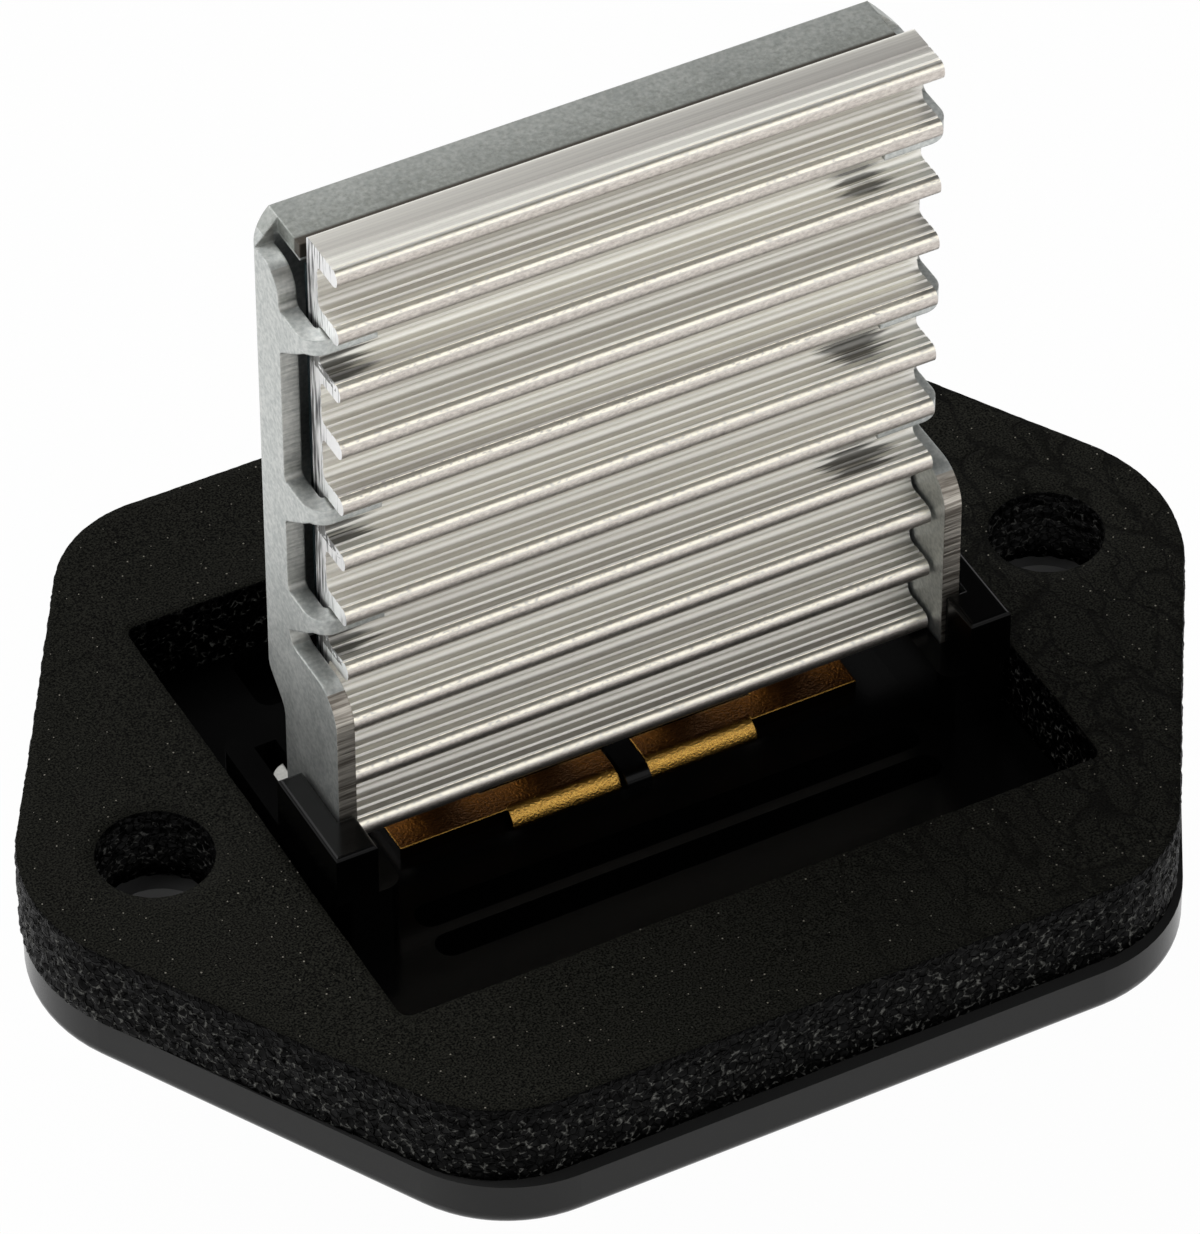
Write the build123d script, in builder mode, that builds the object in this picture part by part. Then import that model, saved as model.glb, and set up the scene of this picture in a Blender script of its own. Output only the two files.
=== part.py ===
from build123d import *
import os

# Blower motor resistor for a car's heater box. A black moulded base carries a foam gasket on its
# flange and a connector shroud below it. On the base stands a thick-film resistor card, clamped
# between an extruded heat sink and a folded steel bracket, with brass terminals down to the plug.
# Origin: midway between the two screw holes, on the flange face that the gasket lies on.
# +X runs along the two screw holes, +Z points to the heat sink's top, and the fins face -Y.

# Flange: a hexagon with two long edges along X and a corner at each end, all corners rounded
flange_end_reach = 34.2
flange_half_depth = 25.4
flange_flat_half = 19.7
flange_end_radius = 9.0
flange_side_radius = 8.0
flange_thickness = 3.0
flange_edge_round = 1.0
flange_rim_width = 2.2
flange_coring_depth = 1.3

# Screw holes through the two ends
screw_spacing = 52.0
screw_hole_radius = 2.85
screw_boss_wall = 2.4

# Foam gasket: nearly the flange's outline, narrower in front and behind, proud at the ends
gasket_thickness = 5.0
gasket_end_proud = 0.4
gasket_side_inset = 0.65
gasket_end_radius = 9.8
gasket_side_radius = 7.3
gasket_window_end_gap = 0.5
gasket_window_half_y = 15.9
gasket_window_radius = 0.4

# Island: the raised floor inside the gasket's window, with its mould slots
island_height = 1.0
island_gap = 0.3
island_corner_radius = 0.8
slot_half_length = 14.65
slot_width = 1.7
slot_floor = 0.8
slot_corner_radius = 0.8
front_slot_y = -6.55
slot_spacing = 2.35
rear_pocket_length = 4.0
rear_pocket_edge_wall = 0.5

# Heat sink: an aluminium extrusion along X, a flat web with fins on its front
sink_half_length = 16.75
fin_count = 11
fin_pitch = 3.715
fin_thickness = 1.1
fin_depth = 2.15
fin_tip_radius = 0.5
fin_root_radius = 0.35
web_front_y = -1.6
web_thickness = 1.15
web_top_round = 0.3
groove_size = 0.13
groove_spacing = 0.55
web_groove_count = 4
fin_groove_count = 3

# Seats of the heat sink and the card on the base
seat_height = 5.05
seat_ledge = 1.05

# Folded steel bracket
sheet = 1.0
end_gap = 0.2
bend_inner_radius = 0.2
card_thickness = 1.0
pad_thickness = 2.35
side_front_y = 0.4
side_top_radius = 1.5
side_top_drop = 1.4
bracket_top = 41.85
top_flange_setback = 1.0
top_flange_relief = 0.3
back_plate_bottom = 13.5
back_plate_step_drop = 2.6
back_plate_step_radius = 1.4
ear_front_y = -4.76
ear_shoulder_z = 16.15
ear_shoulder_radius = 2.05
ear_root_radius = 0.8
leg_rear_y = 1.2
foot_top_drop = 0.8
foot_rear_y = 4.4
leg_corner_radius = 0.5

# Crimp tabs: tongues of the side flanges, folded into the valleys below fins 2, 5 and 7
tab_fins = (2, 5, 7)
tab_seat_gap = 0.03
tab_reach = 2.65
tab_fillet_share = 0.6
tab_root_drop = 0.3
tab_root_fillet = 0.4
tab_tip_width = 0.95
tab_taper_end = 0.4

# Sockets of the base round the bracket's legs
leg_clearance = 0.12
socket_wall = 1.43
socket_front_y = -7.5
socket_rear_y = 6.1
socket_corner_radius = 0.9
socket_slot_rear_gap = 0.5
socket_floor = 0.8
guard_height = 3.25
guard_rear_y = -0.8
guard_front_wall_length = 2.35
guard_edge_round = 0.25

# Card, leads and fuse
card_side_gap = 0.55
card_top_gap = 0.25
lead_width = 2.6
lead_thickness = 0.5
lead_bend_radius = 0.7
lead_overlap = 4.3
lead_foot_length = 1.8
inner_lead_x = 4.0
pad_half_width = 15.2
pad_bottom = 14.0
pad_top_gap = 1.3
pad_window_width = 12.0
pad_window_height = 6.5
pad_corner_radius = 1.0
fuse_strip_width = 3.0
fuse_strip_thickness = 0.3
fuse_half_span = 4.6
fuse_foot_length = 1.6
fuse_rise = 0.75

# Brass terminals with 6.3 mm blades, two in front of the card and two behind it
brass_thickness = 0.8
brass_bend_inner_radius = 0.2
blade_width = 6.3
terminal_inner_x = 0.85
terminal_end_inset = 3.4
front_blade_y = -2.55
rear_blade_y = 5.0
front_cut_edge_y = -2.28
outer_sheet_rear_y = 3.5
front_sheet_rear_y = -0.6
rear_sheet_front_y = 0.6
sheet_side_gap = 0.8
blade_reach = 10.5
blade_tip_chamfer = 0.25
blade_hole_radius = 0.85
blade_hole_from_tip = 3.2
blade_slot_clearance = 0.1

# Divider rib between the two front terminals
divider_gap = 0.15
divider_front = 0.5
divider_proud = 0.1
divider_nose_radius = 0.8

# Connector shroud below the flange
shroud_side_gap = 2.2
shroud_row_gap = 2.6
shroud_wall = 1.6
shroud_depth = 14.0
shroud_corner_radius = 2.4
shroud_mouth_chamfer = 0.4
latch_width = 6.5
latch_height = 3.2
latch_proud = 1.5
latch_from_mouth = 3.4
key_rib_width = 1.4
key_rib_proud = 1.1
key_rib_spacing = 11.0
stiffener_width = 1.4

# Places that follow from the sizes above
web_rear_y = web_front_y + web_thickness
sink_height = (fin_count - 1) * fin_pitch + fin_thickness
sink_top = seat_height + sink_height
side_inner_x = sink_half_length + end_gap
side_outer_x = side_inner_x + sheet
card_rear_y = web_rear_y + card_thickness
plate_inner_y = card_rear_y + pad_thickness
plate_outer_y = plate_inner_y + sheet
socket_inner_x = sink_half_length - seat_ledge
socket_outer_x = side_outer_x + leg_clearance + socket_wall
gasket_window_half_x = socket_outer_x + gasket_window_end_gap
island_half_x = gasket_window_half_x - island_gap
island_half_y = gasket_window_half_y - island_gap
terminal_top = island_height + brass_thickness
blade_x = terminal_inner_x + blade_width / 2
tongue_edge_x = terminal_inner_x + blade_width
outer_edge_x = sink_half_length - terminal_end_inset
outer_lead_x = (tongue_edge_x + outer_edge_x) / 2
blade_bottom = -flange_thickness - blade_reach
leg_bottom = socket_floor + leg_clearance + flange_coring_depth - flange_thickness
card_top = bracket_top - sheet - card_top_gap
bend_outer_radius = bend_inner_radius + sheet
side_top = bracket_top - side_top_drop
shroud_centre_y = (front_blade_y + rear_blade_y) / 2
shroud_inner_x = 2 * (terminal_inner_x + blade_width + shroud_side_gap)
shroud_inner_y = rear_blade_y - front_blade_y + 2 * shroud_row_gap
shroud_outer_x = shroud_inner_x + 2 * shroud_wall
shroud_outer_y = shroud_inner_y + 2 * shroud_wall
shroud_bottom = -flange_thickness - shroud_depth


def hexagon_outline(end_reach, half_depth, flat_half, end_radius, side_radius):
    """Rounded hexagon with a corner at each end of the X axis."""
    with BuildSketch(mode=Mode.PRIVATE) as outline:
        with BuildLine():
            Polyline(
                (-end_reach, 0),
                (-flat_half, -half_depth),
                (flat_half, -half_depth),
                (end_reach, 0),
                (flat_half, half_depth),
                (-flat_half, half_depth),
                close=True,
            )
        make_face()
        fillet(outline.vertices().group_by(Axis.Y)[1], end_radius)
        rows = outline.vertices().group_by(Axis.Y)
        fillet(rows[0] + rows[-1], side_radius)
    return outline.sketch


def fin_middle(number):
    """Height of the middle of a fin, counted from 1 at the top."""
    return sink_top - fin_thickness / 2 - (number - 1) * fin_pitch


flange_outline = hexagon_outline(
    flange_end_reach, flange_half_depth, flange_flat_half, flange_end_radius, flange_side_radius
)
gasket_outline = hexagon_outline(
    flange_end_reach + gasket_end_proud,
    flange_half_depth - gasket_side_inset,
    flange_flat_half,
    gasket_end_radius,
    gasket_side_radius,
)

# Base moulding: flange, island, leg sockets, divider rib, connector shroud
with BuildPart() as base_moulding:
    with BuildSketch(Plane.XY.offset(-flange_thickness)):
        add(flange_outline)
    extrude(amount=flange_thickness)
    fillet(base_moulding.faces().sort_by(Axis.Z)[0].edges(), flange_edge_round)

    # Raised island inside the gasket's window
    with BuildSketch():
        RectangleRounded(2 * island_half_x, 2 * island_half_y, island_corner_radius)
    extrude(amount=island_height)

    # Blocks that hold the bracket's legs and seat the heat sink's ends
    socket_length = socket_rear_y - socket_front_y
    socket_width = socket_outer_x - socket_inner_x
    with BuildSketch(Plane.XY.offset(island_height)):
        with Locations(
            ((socket_inner_x + socket_outer_x) / 2, (socket_front_y + socket_rear_y) / 2)
        ):
            RectangleRounded(socket_width, socket_length, socket_corner_radius)
        mirror(about=Plane.YZ)
    extrude(amount=seat_height - island_height)

    # L-shaped guards round the front of each leg
    guard_inner_x = side_outer_x + leg_clearance
    guard_inner_y = ear_front_y - leg_clearance
    with BuildSketch(Plane.XY.offset(seat_height)) as guards:
        with BuildLine():
            Polyline(
                (socket_outer_x, guard_rear_y),
                (guard_inner_x, guard_rear_y),
                (guard_inner_x, guard_inner_y),
                (socket_outer_x - guard_front_wall_length, guard_inner_y),
                (socket_outer_x - guard_front_wall_length, socket_front_y),
                (socket_outer_x, socket_front_y),
                close=True,
            )
        make_face()
        mirror(about=Plane.YZ)
    extrude(amount=guard_height)
    guard_tops = base_moulding.faces().filter_by(Axis.Z).group_by(Axis.Z)[-1]
    fillet(guard_tops.edges(), guard_edge_round)

    # Slots for the bracket's legs and feet
    slot_front_y = ear_front_y - leg_clearance
    slot_rear_y = foot_rear_y + socket_slot_rear_gap
    with BuildSketch(Plane.XY.offset(leg_bottom - leg_clearance)):
        with Locations(((side_inner_x + side_outer_x) / 2, (slot_front_y + slot_rear_y) / 2)):
            Rectangle(sheet + 2 * leg_clearance, slot_rear_y - slot_front_y)
        mirror(about=Plane.YZ)
    extrude(amount=seat_height + guard_height - leg_bottom, mode=Mode.SUBTRACT)

    # Two long mould slots in front and a pocket behind
    with BuildSketch(Plane.XY.offset(island_height)):
        for row in range(2):
            with Locations((0, front_slot_y - row * slot_spacing)):
                RectangleRounded(2 * slot_half_length, slot_width, slot_corner_radius)
        with Locations((0, island_half_y - rear_pocket_edge_wall - rear_pocket_length / 2)):
            RectangleRounded(2 * slot_half_length, rear_pocket_length, slot_corner_radius)
    slot_depth = island_height + flange_thickness - flange_coring_depth - slot_floor
    extrude(amount=-slot_depth, mode=Mode.SUBTRACT)

    # Divider rib between the front terminals, with a rounded nose
    divider_half_width = terminal_inner_x - divider_gap
    divider_top = terminal_top + divider_proud
    nose_y = front_blade_y - brass_thickness / 2 - divider_front
    with BuildSketch(Plane.YZ):
        with BuildLine():
            FilletPolyline(
                (outer_sheet_rear_y, divider_top),
                (nose_y, divider_top),
                (nose_y, 0),
                radius=divider_nose_radius,
            )
            Polyline((nose_y, 0), (outer_sheet_rear_y, 0), (outer_sheet_rear_y, divider_top))
        make_face()
    extrude(amount=divider_half_width, both=True)

    # Coring under the flange leaves its rim, the screw bosses, a cross of ribs and the shroud
    with BuildSketch(Plane.XY.offset(-flange_thickness)) as coring:
        add(flange_outline)
        offset(amount=-flange_rim_width)
        with Locations((screw_spacing / 2, 0), (-screw_spacing / 2, 0)):
            Circle(screw_hole_radius + screw_boss_wall, mode=Mode.SUBTRACT)
        with Locations((0, shroud_centre_y)):
            Rectangle(shroud_outer_x, shroud_outer_y, mode=Mode.SUBTRACT)
        Rectangle(2 * flange_end_reach, stiffener_width, mode=Mode.SUBTRACT)
        with Locations((shroud_outer_x / 3, 0), (-shroud_outer_x / 3, 0)):
            Rectangle(stiffener_width, 2 * flange_half_depth, mode=Mode.SUBTRACT)
    extrude(amount=flange_coring_depth, mode=Mode.SUBTRACT)

    # Connector shroud, open downwards
    with BuildSketch(Plane.XY.offset(-flange_thickness)):
        with Locations((0, shroud_centre_y)):
            RectangleRounded(shroud_outer_x, shroud_outer_y, shroud_corner_radius)
            RectangleRounded(
                shroud_inner_x,
                shroud_inner_y,
                shroud_corner_radius - shroud_wall,
                mode=Mode.SUBTRACT,
            )
    extrude(amount=-shroud_depth)
    mouth = base_moulding.faces().sort_by(Axis.Z)[0]
    chamfer(mouth.inner_wires()[0].edges(), shroud_mouth_chamfer)

    # Latch ramp on the rear wall and two key ribs on the front wall of the shroud
    latch_root_y = shroud_centre_y + shroud_outer_y / 2
    latch_bottom = shroud_bottom + latch_from_mouth
    with BuildSketch(Plane.YZ):
        with BuildLine():
            Polyline(
                (latch_root_y, latch_bottom),
                (latch_root_y + latch_proud, latch_bottom + latch_height),
                (latch_root_y, latch_bottom + latch_height),
                close=True,
            )
        make_face()
    extrude(amount=latch_width / 2, both=True)
    key_face_y = shroud_centre_y - shroud_outer_y / 2
    with BuildSketch(Plane.XY.offset(-flange_thickness)):
        with Locations(
            (key_rib_spacing / 2, key_face_y - key_rib_proud / 2),
            (-key_rib_spacing / 2, key_face_y - key_rib_proud / 2),
        ):
            Rectangle(key_rib_width, key_rib_proud)
    extrude(amount=-(shroud_depth - latch_from_mouth))

    # Slots through the floor for the four blades, widened by the bend on their inner side
    blade_slot_width = blade_width + 2 * blade_slot_clearance
    blade_slot_depth = brass_thickness + brass_bend_inner_radius + blade_slot_clearance
    slot_shift = (brass_bend_inner_radius - blade_slot_clearance) / 2
    with BuildSketch(Plane.XY.offset(island_height)):
        with Locations(
            (blade_x, front_blade_y + slot_shift),
            (-blade_x, front_blade_y + slot_shift),
            (blade_x, rear_blade_y - slot_shift),
            (-blade_x, rear_blade_y - slot_shift),
        ):
            Rectangle(blade_slot_width, blade_slot_depth)
    extrude(amount=-(island_height + flange_thickness), mode=Mode.SUBTRACT)

    # Screw holes
    with Locations((screw_spacing / 2, 0), (-screw_spacing / 2, 0)):
        Hole(screw_hole_radius)
base_moulding.part.label = "base_moulding"

# Foam gasket, die cut, with a window for the island and two screw holes
with BuildPart() as foam_gasket:
    with BuildSketch():
        add(gasket_outline)
        RectangleRounded(
            2 * gasket_window_half_x,
            2 * gasket_window_half_y,
            gasket_window_radius,
            mode=Mode.SUBTRACT,
        )
        with Locations((screw_spacing / 2, 0), (-screw_spacing / 2, 0)):
            Circle(screw_hole_radius, mode=Mode.SUBTRACT)
    extrude(amount=gasket_thickness)
foam_gasket.part.label = "foam_gasket"

# Heat sink: the web and its fins as one extruded section, with drawn grooves along the faces
sink_middle_z = seat_height + sink_height / 2
with BuildPart() as heat_sink:
    with BuildSketch(Plane.YZ) as section:
        with Locations(((web_front_y + web_rear_y) / 2, sink_middle_z)):
            Rectangle(web_thickness, sink_height)
        for number in range(1, fin_count + 1):
            with Locations((web_front_y - fin_depth / 2, fin_middle(number))):
                Rectangle(fin_depth, fin_thickness)
        fillet(section.vertices().group_by(Axis.X)[0], fin_tip_radius)
        roots = section.vertices().filter_by_position(
            Axis.X, web_front_y - groove_size, web_front_y + groove_size
        )
        fillet(roots, fin_root_radius)
        top_rear = section.vertices().group_by(Axis.Y)[-1].sort_by(Axis.X)[-1]
        fillet(top_rear, web_top_round)
        for number in range(1, fin_count):
            valley_z = fin_middle(number) - fin_pitch / 2
            with Locations((web_front_y, valley_z)):
                with GridLocations(groove_spacing, groove_spacing, 1, web_groove_count):
                    Rectangle(groove_size, groove_size, rotation=45, mode=Mode.SUBTRACT)
        for number in range(1, fin_count + 1):
            upper_face_z = fin_middle(number) + fin_thickness / 2
            with Locations((web_front_y - fin_depth / 2, upper_face_z)):
                with GridLocations(groove_spacing, groove_spacing, fin_groove_count, 1):
                    Rectangle(groove_size, groove_size, rotation=45, mode=Mode.SUBTRACT)
    extrude(amount=sink_half_length, both=True)
heat_sink.part.label = "heat_sink"


def crimp_tab(number):
    """Tongue from the right side forward, round the heat sink's corner and along its web."""
    inner_y = web_front_y - tab_seat_gap
    outer_y = inner_y - sheet
    root_y = side_front_y + bend_outer_radius
    end_x = sink_half_length - tab_reach
    valley_z = fin_middle(number) - fin_pitch / 2
    with BuildPart(mode=Mode.PRIVATE) as tab:
        with BuildSketch(Plane.XY.offset(valley_z - fin_pitch / 2)):
            with BuildLine():
                FilletPolyline(
                    (side_outer_x, root_y),
                    (side_outer_x, outer_y),
                    (end_x, outer_y),
                    radius=end_gap + sheet,
                )
                Line((end_x, outer_y), (end_x, inner_y))
                FilletPolyline(
                    (end_x, inner_y),
                    (side_inner_x, inner_y),
                    (side_inner_x, root_y),
                    radius=end_gap,
                )
                Line((side_inner_x, root_y), (side_outer_x, root_y))
            make_face()
        extrude(amount=fin_pitch)
        valley_half = (fin_pitch - fin_thickness) / 2
        top = valley_z + valley_half - tab_fillet_share * fin_root_radius
        root = valley_z - valley_half - tab_root_drop
        tip_bottom = top - tab_tip_width
        with BuildSketch(Plane.YZ):
            with BuildLine():
                Polyline(
                    (root_y, top),
                    (outer_y, top),
                    (outer_y, tip_bottom),
                    (inner_y - tab_taper_end, tip_bottom),
                    (side_front_y, root),
                    (root_y, root),
                    close=True,
                )
            make_face()
        extrude(amount=side_outer_x, mode=Mode.INTERSECT)
    return tab.part


# Bracket: one folded sheet with a back plate, a top flange, two sides with legs, and six tabs
with BuildPart() as steel_bracket:
    # Back plate and sides, bent from one strip, as high as the whole blank
    with BuildSketch(Plane.XY.offset(leg_bottom)) as channel:
        with BuildLine():
            FilletPolyline(
                (-side_outer_x, ear_front_y),
                (-side_outer_x, plate_outer_y),
                (side_outer_x, plate_outer_y),
                (side_outer_x, ear_front_y),
                radius=bend_outer_radius,
            )
            Line((side_outer_x, ear_front_y), (-side_outer_x, ear_front_y))
        make_face()
        with BuildLine():
            FilletPolyline(
                (-side_inner_x, ear_front_y),
                (-side_inner_x, plate_inner_y),
                (side_inner_x, plate_inner_y),
                (side_inner_x, ear_front_y),
                radius=bend_inner_radius,
            )
            Line((side_inner_x, ear_front_y), (-side_inner_x, ear_front_y))
        make_face(mode=Mode.SUBTRACT)
    extrude(amount=bracket_top - leg_bottom)

    # Side view of the blank: ear, leg, foot, and the step below the back plate
    foot_top = seat_height - foot_top_drop
    with BuildSketch(Plane.YZ) as side_view:
        with BuildLine():
            Polyline(
                (plate_outer_y, bracket_top),
                (side_front_y, bracket_top),
                (side_front_y, ear_shoulder_z),
                (ear_front_y, ear_shoulder_z),
                (ear_front_y, leg_bottom),
                (foot_rear_y, leg_bottom),
                (foot_rear_y, foot_top),
                (leg_rear_y, foot_top),
                (leg_rear_y, back_plate_bottom - back_plate_step_drop),
                (plate_outer_y, back_plate_bottom),
                close=True,
            )
        make_face()
        corners = side_view.vertices()
        fillet(corners.sort_by_distance((plate_outer_y, bracket_top))[0], bend_outer_radius)
        corners = side_view.vertices()
        fillet(corners.sort_by_distance((side_front_y, ear_shoulder_z))[0], ear_root_radius)
        corners = side_view.vertices()
        fillet(corners.sort_by_distance((ear_front_y, ear_shoulder_z))[0], ear_shoulder_radius)
        corners = side_view.vertices()
        fillet(corners.sort_by_distance((ear_front_y, leg_bottom))[0], leg_corner_radius)
        corners = side_view.vertices()
        fillet(corners.sort_by_distance((foot_rear_y, leg_bottom))[0], leg_corner_radius)
        step_corner = (leg_rear_y, back_plate_bottom - back_plate_step_drop)
        corners = side_view.vertices()
        fillet(corners.sort_by_distance(step_corner)[0], back_plate_step_radius)
        corners = side_view.vertices()
        fillet(corners.sort_by_distance((plate_outer_y, back_plate_bottom))[0], leg_corner_radius)
    extrude(amount=side_outer_x, both=True, mode=Mode.INTERSECT)

    # Nothing of the back plate is left between the legs
    with BuildSketch(Plane.XZ.offset(-plate_outer_y)):
        with Locations((0, (leg_bottom + back_plate_bottom) / 2)):
            Rectangle(2 * side_inner_x, back_plate_bottom - leg_bottom)
    extrude(amount=plate_outer_y - ear_front_y, mode=Mode.SUBTRACT)

    # The sides end below the top flange, each with a rounded front corner
    with BuildSketch(Plane.YZ):
        with Locations(((side_front_y + plate_inner_y) / 2, (side_top + bracket_top) / 2)):
            Rectangle(plate_inner_y - side_front_y, bracket_top - side_top)
    extrude(amount=side_outer_x, both=True, mode=Mode.SUBTRACT)
    front_edges = steel_bracket.edges().filter_by(Axis.X).filter_by_position(
        Axis.Y, side_front_y - tab_seat_gap, side_front_y + tab_seat_gap
    )
    fillet(front_edges.group_by(Axis.Z)[-1], side_top_radius)

    # The blank's corners are cut off between the sides and the top flange
    top_half_x = side_inner_x - top_flange_relief
    with BuildSketch(Plane.XZ.offset(-plate_outer_y)):
        with BuildLine():
            Polyline(
                (top_half_x, bracket_top),
                (side_outer_x, bracket_top),
                (side_outer_x, side_top),
                close=True,
            )
        make_face()
        mirror(about=Plane.YZ)
    extrude(amount=plate_outer_y - plate_inner_y, mode=Mode.SUBTRACT)

    # Top flange, bent forward over the card up to the web
    top_front_y = web_rear_y + top_flange_setback
    with BuildSketch(Plane.XY.offset(bracket_top - sheet)):
        with Locations((0, (top_front_y + plate_inner_y) / 2)):
            Rectangle(2 * top_half_x, plate_inner_y - top_front_y)
    extrude(amount=sheet)

    # The six tabs
    for number in tab_fins:
        right_tab = crimp_tab(number)
        add(right_tab)
        add(mirror(right_tab, about=Plane.YZ, mode=Mode.PRIVATE))
    tab_roots = steel_bracket.edges().filter_by(Axis.X).filter_by_position(
        Axis.Y, side_front_y - tab_seat_gap, side_front_y + tab_seat_gap
    )
    lowest_valley_z = fin_middle(tab_fins[-1]) - fin_pitch / 2
    tab_roots = tab_roots.filter_by_position(Axis.Z, lowest_valley_z, fin_middle(tab_fins[0]))
    fillet(tab_roots, tab_root_fillet)
steel_bracket.part.label = "steel_bracket"

# Resistor card: a ceramic plate with its printed tracks under glass, behind the web
card_half_width = side_inner_x - card_side_gap
with BuildPart() as resistor_card:
    with BuildSketch(Plane.XZ.offset(-card_rear_y)):
        with Locations((0, (seat_height + card_top) / 2)):
            Rectangle(2 * card_half_width, card_top - seat_height)
    extrude(amount=card_thickness)
resistor_card.part.label = "resistor_card"

# Silicone pad between the card and the back plate, with a window for the fuse
pad_top = card_top - pad_top_gap
pad_middle_z = (pad_bottom + pad_top) / 2
with BuildPart() as insulating_pad:
    with BuildSketch(Plane.XZ.offset(-plate_inner_y)):
        with Locations((0, pad_middle_z)):
            RectangleRounded(2 * pad_half_width, pad_top - pad_bottom, pad_corner_radius)
            RectangleRounded(
                pad_window_width, pad_window_height, pad_corner_radius, mode=Mode.SUBTRACT
            )
    extrude(amount=pad_thickness)
insulating_pad.part.label = "insulating_pad"

# Thermal fuse: a bowed spring strip soldered across two pads of the card
with BuildPart() as thermal_fuse:
    with BuildSketch(Plane.XY.offset(pad_middle_z - fuse_strip_width / 2)):
        fuse_line_y = card_rear_y + fuse_strip_thickness / 2
        bow_start = fuse_half_span - fuse_foot_length
        with BuildLine():
            Line((-fuse_half_span, fuse_line_y), (-bow_start, fuse_line_y))
            bow = ThreePointArc(
                (-bow_start, fuse_line_y), (0, fuse_line_y + fuse_rise), (bow_start, fuse_line_y)
            )
            Line((bow_start, fuse_line_y), (fuse_half_span, fuse_line_y))
        trace(line_width=fuse_strip_thickness)
    extrude(amount=fuse_strip_width)
thermal_fuse.part.label = "thermal_fuse"


def card_lead(centre_x, name):
    """Clip lead: soldered up the card's rear face, with a foot welded to its terminal."""
    line_y = card_rear_y + lead_thickness / 2
    with BuildPart() as lead:
        with BuildSketch(Plane.YZ.offset(centre_x - lead_width / 2)):
            with BuildLine():
                FilletPolyline(
                    (line_y, seat_height + lead_overlap),
                    (line_y, terminal_top + lead_thickness / 2),
                    (line_y + lead_foot_length, terminal_top + lead_thickness / 2),
                    radius=lead_bend_radius,
                )
            trace(line_width=lead_thickness)
        extrude(amount=lead_width)
    lead.part.label = name
    return lead


def blade_profile(sheet_end_y, blade_y):
    """Side view of a terminal: a flat sheet on the island that bends down into a blade."""
    with BuildSketch(Plane.YZ.offset(terminal_inner_x), mode=Mode.PRIVATE) as profile:
        with BuildLine():
            FilletPolyline(
                (sheet_end_y, island_height + brass_thickness / 2),
                (blade_y, island_height + brass_thickness / 2),
                (blade_y, blade_bottom),
                radius=brass_bend_inner_radius + brass_thickness / 2,
            )
        trace(line_width=brass_thickness)
    return profile.sketch


def finish_blade(terminal, blade_y):
    """Chamfered tip and detent hole of a blade, inside the terminal's own block."""
    tip = terminal.faces().sort_by(Axis.Z)[0]
    chamfer(tip.edges().filter_by(Axis.X), blade_tip_chamfer)
    with Locations(Plane.XZ.offset(-blade_y) * Pos(blade_x, blade_bottom + blade_hole_from_tip)):
        Cylinder(blade_hole_radius, 2 * brass_thickness, mode=Mode.SUBTRACT)


# Front terminals: the tongue in the middle, a wider sheet outside it under the outer leads
front_profile = blade_profile(front_sheet_rear_y, front_blade_y)
with BuildPart() as terminal_front_right:
    extrude(front_profile, amount=blade_width, dir=(1, 0, 0))
    with BuildSketch(Plane.XY.offset(island_height)):
        with BuildLine():
            Polyline(
                (tongue_edge_x, front_cut_edge_y),
                (outer_edge_x, front_cut_edge_y),
                (outer_edge_x, outer_sheet_rear_y),
                (tongue_edge_x + sheet_side_gap, outer_sheet_rear_y),
                (tongue_edge_x + sheet_side_gap, front_sheet_rear_y),
                (tongue_edge_x, front_sheet_rear_y),
                close=True,
            )
        make_face()
    extrude(amount=brass_thickness)
    finish_blade(terminal_front_right, front_blade_y)
terminal_front_right.part.label = "terminal_front_right"

with BuildPart() as terminal_front_left:
    add(mirror(terminal_front_right.part, about=Plane.YZ, mode=Mode.PRIVATE))
terminal_front_left.part.label = "terminal_front_left"

# Rear terminals: their sheets start behind the front ones and bend down behind the card
rear_profile = blade_profile(rear_sheet_front_y, rear_blade_y)
with BuildPart() as terminal_rear_right:
    extrude(rear_profile, amount=blade_width, dir=(1, 0, 0))
    finish_blade(terminal_rear_right, rear_blade_y)
terminal_rear_right.part.label = "terminal_rear_right"

with BuildPart() as terminal_rear_left:
    add(mirror(terminal_rear_right.part, about=Plane.YZ, mode=Mode.PRIVATE))
terminal_rear_left.part.label = "terminal_rear_left"

lead_outer_right = card_lead(outer_lead_x, "card_lead_outer_right")
lead_outer_left = card_lead(-outer_lead_x, "card_lead_outer_left")
lead_inner_right = card_lead(inner_lead_x, "card_lead_inner_right")
lead_inner_left = card_lead(-inner_lead_x, "card_lead_inner_left")

pieces = (
    base_moulding,
    foam_gasket,
    heat_sink,
    steel_bracket,
    resistor_card,
    insulating_pad,
    thermal_fuse,
    lead_outer_right,
    lead_outer_left,
    lead_inner_right,
    lead_inner_left,
    terminal_front_right,
    terminal_front_left,
    terminal_rear_right,
    terminal_rear_left,
)
os.makedirs("parts", exist_ok=True)
for piece in pieces:
    export_step(piece.part, f"parts/{piece.part.label}.step")
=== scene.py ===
import math
import bpy
import numpy as np
from mathutils import Matrix, Vector
from mathutils.geometry import delaunay_2d_cdt


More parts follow.
